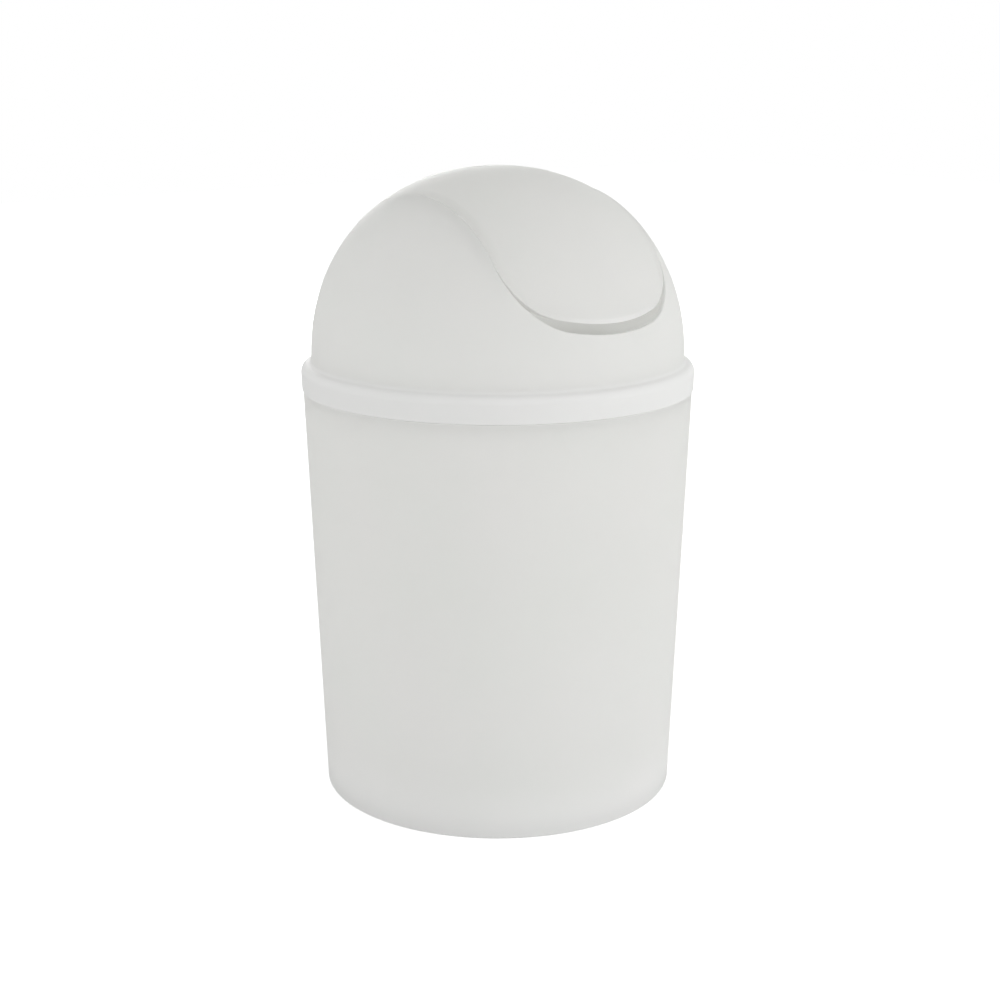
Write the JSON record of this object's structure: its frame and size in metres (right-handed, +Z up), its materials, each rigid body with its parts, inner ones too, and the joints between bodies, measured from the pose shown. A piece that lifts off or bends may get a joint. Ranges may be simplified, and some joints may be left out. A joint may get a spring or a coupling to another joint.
{
  "type": "countertop trash can with swing lid",
  "caption": "Small round tapered trash can with a domed lift-off cover and an arched flap that swings in from the front or the back.",
  "frame": {"origin": "centre of the foot, on the surface that the can stands on", "axes": "+Z up along the can's axis, -Y towards the front tongue of the flap, +X along the flap's swing axis"},
  "size_m": [0.19, 0.19, 0.305],
  "materials": {
    "frosted_plastic": "frosted, milky translucent polypropylene with a fine satin grain"
  },
  "bodies": {
    "bin": {"bin": "frosted_plastic"},
    "cover": {"cover": "frosted_plastic"},
    "flap": {"swing_flap": "frosted_plastic"}
  },
  "joints": [
    {"name": "cover_lift", "type": "slide", "parent": "bin", "child": "cover", "axis": [0, 0, 1], "range_m": [0, 0.12]},
    {"name": "flap_swing", "type": "hinge", "parent": "cover", "child": "flap", "pos_m": [0, 0, 0.28397], "axis": [1, 0, 0], "range_deg": [-90, 90]}
  ]
}
